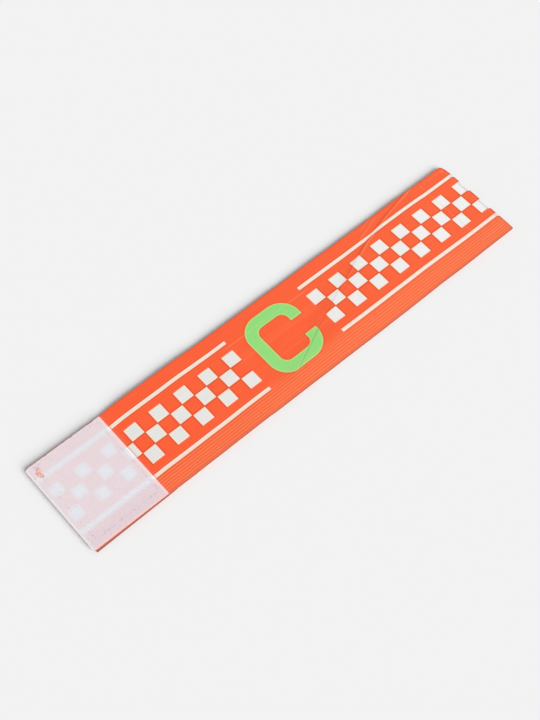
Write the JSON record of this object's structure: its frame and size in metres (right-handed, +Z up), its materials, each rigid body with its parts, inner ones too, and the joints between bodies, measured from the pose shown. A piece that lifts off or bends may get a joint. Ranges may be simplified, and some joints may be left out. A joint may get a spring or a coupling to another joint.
{
  "type": "captain armband",
  "caption": "Wide ribbed elastic armband lying opened out, with hook tape on top of one end, loop tape under the other and a slanting crease across the middle.",
  "frame": {"origin": "under the middle of the armband, on the surface that it lies on", "axes": "+X along the band from the hook end to the loop end, +Y across it from the front edge to the back edge, +Z up out of the printed face"},
  "size_m": [0.364, 0.07, 0.0048],
  "materials": {
    "elastic_webbing": "matte ribbed weave, orange with a dyed white and green print",
    "hook_tape": "translucent whitish micro hooks",
    "loop_tape": "soft off-white pile"
  },
  "bodies": {
    "root": {"elastic_band": "elastic_webbing", "hook_panel": "hook_tape", "loop_panel": "loop_tape"}
  },
  "joints": []
}
